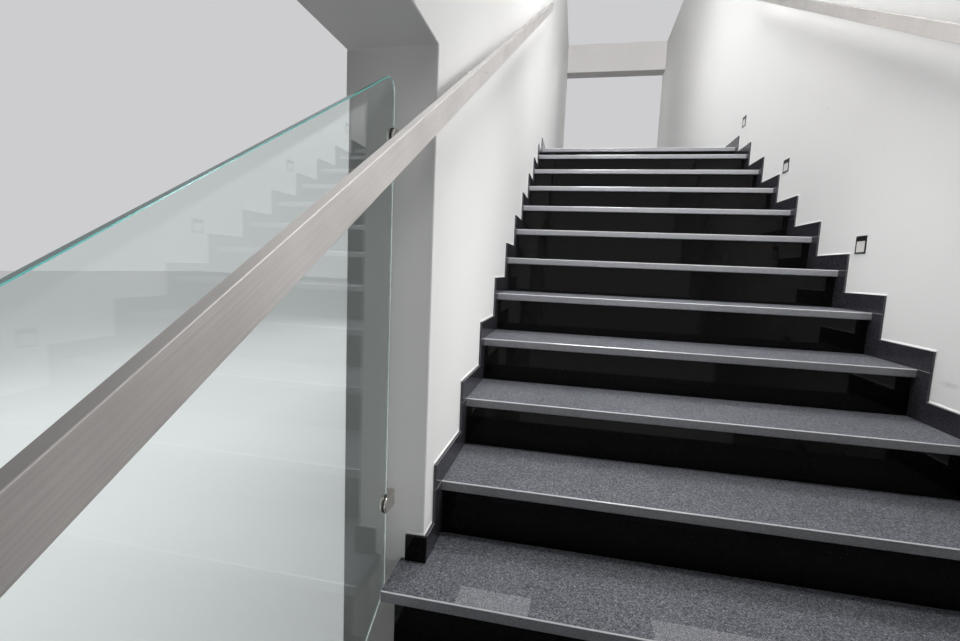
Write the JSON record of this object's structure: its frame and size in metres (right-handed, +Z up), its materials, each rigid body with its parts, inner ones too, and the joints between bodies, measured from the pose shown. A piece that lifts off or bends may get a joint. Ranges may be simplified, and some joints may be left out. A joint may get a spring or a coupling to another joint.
{
  "type": "walled fire escape stair flight",
  "caption": "Straight stair flight with granite treads between plastered walls, flat steel handrails, a clamped glass pane over an open stretch and step lights.",
  "frame": {"origin": "on the floor, at the middle of the footprint", "axes": "+Y up the flight, +X to the right of someone climbing it, +Z up"},
  "size_m": [2.01, 8.94, 5.312],
  "materials": {
    "granite": "honed",
    "polished_black_granite": "polished",
    "dark_granite": "polished",
    "concrete": "rough",
    "white_plaster": "matte",
    "stainless": "satin",
    "pane_glass": "polished",
    "light_frame": "satin",
    "diffuser": "frosted"
  },
  "bodies": {
    "root": {"tread_01": "granite", "tread_02": "granite", "tread_03": "granite", "tread_04": "granite", "tread_05": "granite", "tread_06": "granite", "tread_07": "granite", "tread_08": "granite", "tread_09": "granite", "tread_10": "granite", "tread_11": "granite", "tread_12": "granite", "tread_13": "granite", "tread_14": "granite", "tread_15": "granite", "landing_nosing": "granite", "landing_paving": "granite", "lower_risers": "polished_black_granite", "upper_risers": "polished_black_granite", "lower_flight": "concrete", "upper_flight": "concrete", "landing_slab": "concrete", "left_wall": "white_plaster", "left_header": "white_plaster", "left_pier": "white_plaster", "right_wall": "white_plaster", "landing_beam": "white_plaster", "left_skirting_strips": "dark_granite", "left_skirting_uprights": "dark_granite", "right_skirting_strips": "dark_granite", "right_skirting_uprights": "dark_granite", "left_skirting_return": "polished_black_granite", "left_handrail": "stainless", "right_handrail": "stainless", "left_rail_studs": "stainless", "right_rail_studs": "stainless", "glass_clamps": "stainless", "glass_pane": "pane_glass", "step_light_frames": "light_frame", "step_light_lenses": "diffuser"}
  },
  "joints": []
}
